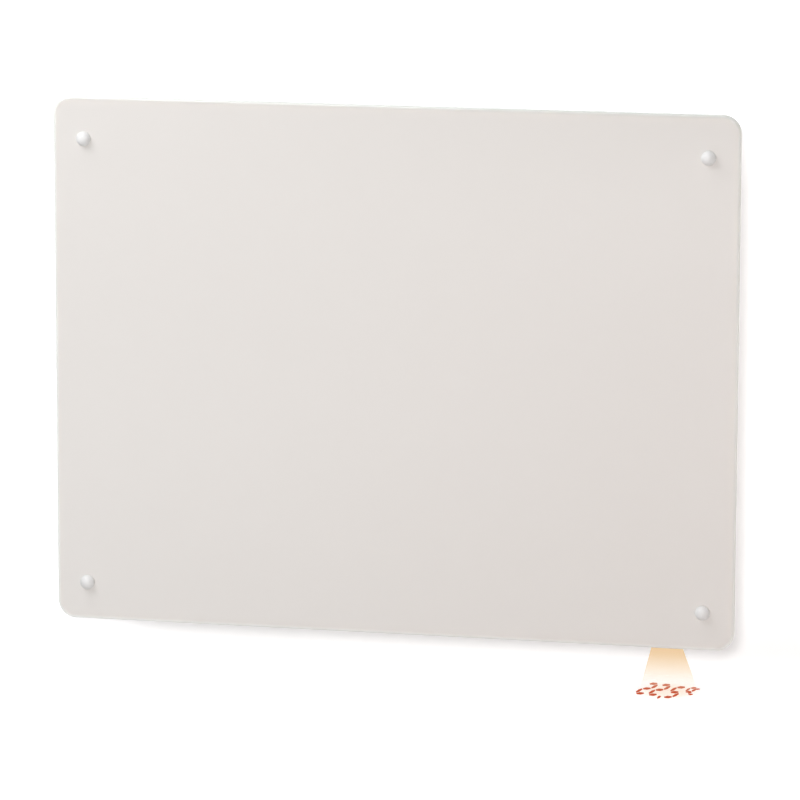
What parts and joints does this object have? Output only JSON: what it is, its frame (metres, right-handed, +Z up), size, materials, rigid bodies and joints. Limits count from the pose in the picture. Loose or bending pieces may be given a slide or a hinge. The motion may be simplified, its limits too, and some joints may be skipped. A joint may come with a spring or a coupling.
{
  "type": "glass convector heater",
  "caption": "Wall-hung electric convector heater: flat white glass front on domed corner studs over a slotted steel casing, hung by pins on a hooked wall bracket",
  "frame": {"origin": "on the wall plane, at the centre of the wall bracket's four screw holes", "axes": "X to the right as seen from the room, Y into the wall, Z up; the glass faces -Y"},
  "size_m": [0.52, 0.0851, 0.4],
  "materials": {
    "white_glass": "gloss",
    "stud_silver": "satin",
    "clear_silicone": "satin",
    "nylon_natural": "satin",
    "spacer_aluminium": "satin",
    "zinc_steel": "satin",
    "white_casing": "satin",
    "bracket_steel": "satin",
    "black_rubber": "matte",
    "grey_rubber": "matte",
    "element_aluminium": "satin",
    "sheath_steel": "satin",
    "white_ceramic": "matte",
    "bush_silicone": "matte",
    "aluminised_steel": "satin",
    "white_plastic": "satin",
    "grey_plastic": "satin",
    "black_plastic": "satin",
    "board_green": "satin",
    "relay_blue": "gloss",
    "capacitor_sleeve": "gloss",
    "clear_lens": "gloss",
    "slide_film": "gloss",
    "lamp_emitter": "gloss",
    "terminal_brass": "satin",
    "lead_insulation": "satin"
  },
  "bodies": {
    "bracket": {"wall_bracket": "bracket_steel", "keeper_rivets": "zinc_steel"},
    "left_keeper": {"keeper_left": "zinc_steel"},
    "right_keeper": {"keeper_right": "zinc_steel"},
    "power_rocker": {"switch_rocker": "black_plastic"},
    "plus_button": {"button_plus": "grey_plastic"},
    "mode_button": {"button_mode": "grey_plastic"},
    "minus_button": {"button_minus": "grey_plastic"},
    "heater": {"front_glass": "white_glass", "stud_screws": "stud_silver", "stud_washers": "clear_silicone", "glass_bushes": "nylon_natural", "glass_seals": "clear_silicone", "stud_spacers": "spacer_aluminium", "rivet_nuts": "zinc_steel", "front_casing": "white_casing", "rear_cover": "white_casing", "cover_screws": "zinc_steel", "hanger_left": "bracket_steel", "hanger_right": "bracket_steel", "hanger_pins": "zinc_steel", "hanger_rivets": "zinc_steel", "wall_buffers": "grey_rubber", "element_fins": "element_aluminium", "element_sheath": "sheath_steel", "element_insulators": "white_ceramic", "element_terminals": "sheath_steel", "element_bushes": "bush_silicone", "element_support_left": "aluminised_steel", "element_support_right": "aluminised_steel", "support_rivets": "zinc_steel", "divider_rivets": "zinc_steel", "heat_shield": "aluminised_steel", "shield_screws": "zinc_steel", "divider_plate": "aluminised_steel", "overheat_cutout": "black_plastic", "control_housing": "white_plastic", "control_lid": "white_plastic", "lid_screws": "zinc_steel", "housing_nuts": "zinc_steel", "control_fascia": "white_plastic", "control_board": "board_green", "board_screws": "zinc_steel", "board_connectors": "white_plastic", "power_relay": "relay_blue", "supply_transformer": "grey_plastic", "board_capacitor": "capacitor_sleeve", "button_board": "board_green", "tact_switches": "black_plastic", "switch_body": "black_plastic", "projector_barrel": "black_plastic", "projector_lens": "clear_lens", "projector_slide": "slide_film", "projector_lamp": "lamp_emitter", "room_sensor": "white_plastic", "cord_grommet": "black_rubber", "terminal_block": "white_plastic", "terminal_screws": "terminal_brass", "earth_stud": "terminal_brass", "internal_leads": "lead_insulation"}
  },
  "joints": [
    {"name": "heater_tilt", "type": "hinge", "parent": "bracket", "child": "heater", "pos_m": [0, -0.013, 0.13], "axis": [-1, 0, 0], "range_deg": [0, 15]},
    {"name": "left_keeper_swing", "type": "hinge", "parent": "bracket", "child": "left_keeper", "pos_m": [-0.1412, -0.006, 0.1385], "axis": [-1, 0, 0], "range_deg": [0, 80]},
    {"name": "right_keeper_swing", "type": "hinge", "parent": "bracket", "child": "right_keeper", "pos_m": [0.1412, -0.006, 0.1385], "axis": [-1, 0, 0], "range_deg": [0, 80]},
    {"name": "rocker_throw", "type": "hinge", "parent": "heater", "child": "power_rocker", "pos_m": [0.245, -0.0455, -0.153], "axis": [0, -1, 0], "range_deg": [0, 16]},
    {"name": "plus_press", "type": "slide", "parent": "heater", "child": "plus_button", "axis": [-1, 0, 0], "range_m": [0, 0.0012], "stiffness_N_per_m": 400, "springref_m": -0.001},
    {"name": "mode_press", "type": "slide", "parent": "heater", "child": "mode_button", "axis": [-1, 0, 0], "range_m": [0, 0.0012], "stiffness_N_per_m": 400, "springref_m": -0.001},
    {"name": "minus_press", "type": "slide", "parent": "heater", "child": "minus_button", "axis": [-1, 0, 0], "range_m": [0, 0.0012], "stiffness_N_per_m": 400, "springref_m": -0.001}
  ]
}
